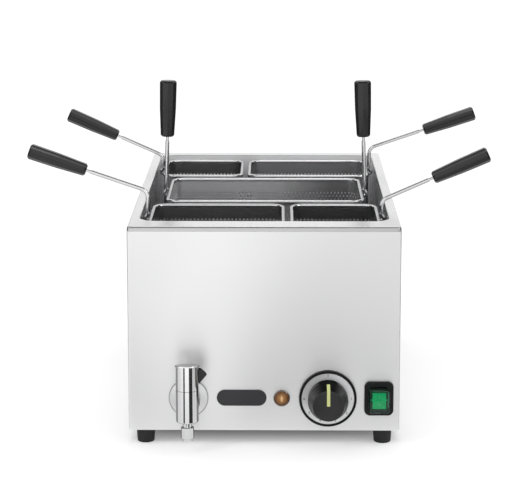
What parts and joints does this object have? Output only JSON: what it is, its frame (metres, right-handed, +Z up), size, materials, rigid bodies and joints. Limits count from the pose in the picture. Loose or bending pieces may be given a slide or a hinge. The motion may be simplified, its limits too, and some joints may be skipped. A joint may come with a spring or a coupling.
{
  "type": "pasta cooker",
  "caption": "Countertop electric pasta cooker: a stainless housing with a water well, lift-out perforated baskets with wire handles and black grips, a drain tap, a dial and a rocker switch.",
  "frame": {"origin": "on the ground, under the middle of the overall box", "axes": "+X to the right seen from the front, +Y to the back (the controls face -Y), +Z up"},
  "size_m": [0.6046, 0.613, 0.4231],
  "materials": {
    "panel_steel": "brushed",
    "well_steel": "satin",
    "basket_steel": "satin",
    "bright_steel": "polished",
    "grip_black": "satin moulded",
    "knob_black": "satin moulded",
    "scale_silver": "satin",
    "pointer_yellow": "matte",
    "lens_amber": "gloss",
    "switch_green": "gloss",
    "cover_clear": "clear gloss",
    "badge_grey": "satin",
    "rubber_black": "matte",
    "nylon_black": "matte moulded",
    "reset_red": "gloss",
    "aluminium": "cast",
    "element_steel": "heat-darkened",
    "brass": "satin",
    "block_white": "matte",
    "wire_brown": "matte"
  },
  "bodies": {
    "housing": {"body_wrap": "panel_steel", "rear_panel": "panel_steel", "base_plate": "panel_steel", "top_deck": "panel_steel", "well": "well_steel", "false_bottom": "well_steel", "heater_plate": "aluminium", "heating_element": "element_steel", "element_clamps": "element_steel", "thermostat_body": "element_steel", "thermostat_capillaries": "brass", "safety_cutout": "nylon_black", "terminal_block": "block_white", "cable_gland": "nylon_black", "locknuts": "brass", "earth_stud": "brass", "feet": "rubber_black", "foot_screws": "bright_steel", "case_screws": "bright_steel", "drain_pipe": "element_steel", "tap_flange": "bright_steel", "tap_seal": "rubber_black", "tap_body": "bright_steel", "tap_nozzle": "bright_steel", "dial_ring": "knob_black", "dial_plate": "scale_silver", "indicator_lamp": "bright_steel", "lamp_lens": "lens_amber", "switch_frame": "knob_black", "switch_body": "nylon_black", "switch_cover": "cover_clear", "badge_plate": "badge_grey", "wiring": "wire_brown"},
    "knob": {"control_knob": "knob_black", "knob_pointer": "pointer_yellow", "thermostat_shaft": "bright_steel"},
    "tap_handle": {"tap_head": "bright_steel", "tap_lever": "knob_black"},
    "power_rocker": {"rocker": "switch_green"},
    "reset": {"reset_button": "reset_red"},
    "front_left_basket": {"front_left_basket_shell": "basket_steel", "front_left_basket_rim": "bright_steel", "front_left_basket_rod": "bright_steel", "front_left_basket_grip": "grip_black"},
    "front_right_basket": {"front_right_basket_shell": "basket_steel", "front_right_basket_rim": "bright_steel", "front_right_basket_rod": "bright_steel", "front_right_basket_grip": "grip_black"},
    "middle_basket": {"middle_basket_shell": "basket_steel", "middle_basket_rim": "bright_steel", "middle_basket_rods": "bright_steel", "middle_basket_grips": "grip_black"},
    "back_left_basket": {"back_left_basket_shell": "basket_steel", "back_left_basket_rim": "bright_steel", "back_left_basket_rod": "bright_steel", "back_left_basket_grip": "grip_black"},
    "back_right_basket": {"back_right_basket_shell": "basket_steel", "back_right_basket_rim": "bright_steel", "back_right_basket_rod": "bright_steel", "back_right_basket_grip": "grip_black"}
  },
  "joints": [
    {"name": "front_left_basket_lift", "type": "slide", "parent": "housing", "child": "front_left_basket", "axis": [0, 0, 1], "range_m": [0, 0.17]},
    {"name": "front_right_basket_lift", "type": "slide", "parent": "housing", "child": "front_right_basket", "axis": [0, 0, 1], "range_m": [0, 0.17]},
    {"name": "middle_basket_lift", "type": "slide", "parent": "housing", "child": "middle_basket", "axis": [0, 0, 1], "range_m": [0, 0.17]},
    {"name": "back_left_basket_lift", "type": "slide", "parent": "housing", "child": "back_left_basket", "axis": [0, 0, 1], "range_m": [0, 0.17]},
    {"name": "back_right_basket_lift", "type": "slide", "parent": "housing", "child": "back_right_basket", "axis": [0, 0, 1], "range_m": [0, 0.17]},
    {"name": "knob_turn", "type": "hinge", "parent": "housing", "child": "knob", "pos_m": [0.07951, -0.2565, 0.0606], "axis": [0, 1, 0], "range_deg": [0, 300]},
    {"name": "tap_turn", "type": "hinge", "parent": "housing", "child": "tap_handle", "pos_m": [-0.09389, -0.2915, 0.082], "axis": [0, 0, -1], "range_deg": [0, 90]},
    {"name": "rocker_tilt", "type": "hinge", "parent": "housing", "child": "power_rocker", "pos_m": [0.14301, -0.2644, 0.0606], "axis": [-1, 0, 0], "range_deg": [0, 20]},
    {"name": "reset_press", "type": "slide", "parent": "housing", "child": "reset", "axis": [0, -1, 0], "range_m": [0, 0.002], "stiffness_N_per_m": 400}
  ]
}
